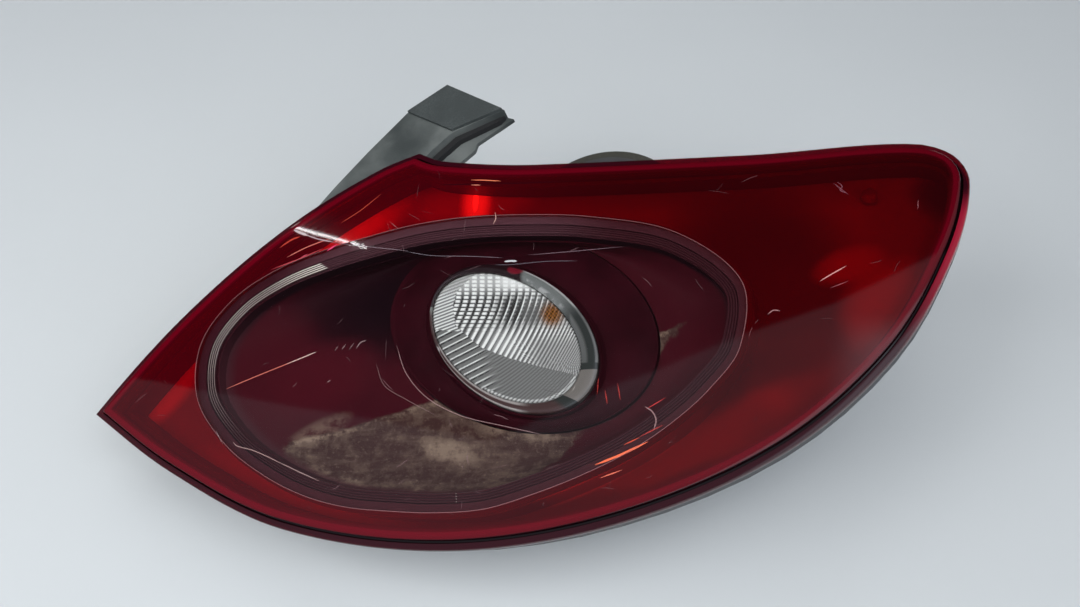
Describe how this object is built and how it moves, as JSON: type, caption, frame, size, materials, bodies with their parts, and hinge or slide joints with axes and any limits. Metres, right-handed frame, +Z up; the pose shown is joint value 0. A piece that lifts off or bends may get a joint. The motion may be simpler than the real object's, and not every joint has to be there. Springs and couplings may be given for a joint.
{
  "type": "rear lamp cluster",
  "caption": "Right-hand wrap-around car rear lamp: red lens with a smoked oval window, ribbed light ring, offset clear prismatic indicator, bulb carrier, studs and a gutter strip.",
  "frame": {"origin": "axis of the inboard fixing stud, in the plane of the body panel that the lamp seats on", "axes": "as fitted: +X outboard to the vehicle's right, +Y forwards into the body along the studs, +Z up"},
  "size_m": [0.499, 0.165, 0.2972],
  "materials": {
    "housing": "matt moulded",
    "lens_bond": "tacky sealant",
    "outer_lens": "glossy transparent red, scratched",
    "lens_window": "glossy smoked",
    "zone_reflector": "metallised",
    "ring_bezel": "dark satin",
    "light_ring": "clear, ribbed",
    "bowl_collar": "dark satin",
    "indicator_reflector": "metallised",
    "indicator_lens": "clear, prismatic",
    "chrome_ring": "bright",
    "indicator_bulb": "amber",
    "tail_bulb": "clear",
    "brake_bulb": "clear",
    "side_bulb": "clear",
    "brake_socket": "moulded",
    "side_socket": "moulded",
    "bulb_carrier": "moulded",
    "carrier_gasket": "soft",
    "carrier_clips": "spring steel",
    "contact_strips": "tinned brass",
    "connector_pins": "plated",
    "seal_ring": "open foam",
    "mounting_studs": "zinc plated",
    "stud_washers": "closed foam",
    "vent_cap": "soft",
    "gutter_strip": "matt, dusty",
    "strip_pad": "foam",
    "strip_lip": "soft",
    "strip_screws": "zinc plated"
  },
  "bodies": {
    "root": {"housing": "housing", "lens_bond": "lens_bond", "outer_lens": "outer_lens", "lens_window": "lens_window", "zone_reflector": "zone_reflector", "ring_bezel": "ring_bezel", "light_ring": "light_ring", "bowl_collar": "bowl_collar", "indicator_reflector": "indicator_reflector", "indicator_lens": "indicator_lens", "chrome_ring": "chrome_ring", "indicator_bulb": "indicator_bulb", "tail_bulb": "tail_bulb", "brake_bulb": "brake_bulb", "side_bulb": "side_bulb", "brake_socket": "brake_socket", "side_socket": "side_socket", "bulb_carrier": "bulb_carrier", "carrier_gasket": "carrier_gasket", "carrier_clips": "carrier_clips", "contact_strips": "contact_strips", "connector_pins": "connector_pins", "seal_ring": "seal_ring", "mounting_studs": "mounting_studs", "stud_washers": "stud_washers", "vent_cap": "vent_cap", "gutter_strip": "gutter_strip", "strip_pad": "strip_pad", "strip_lip": "strip_lip", "strip_screws": "strip_screws"}
  },
  "joints": []
}
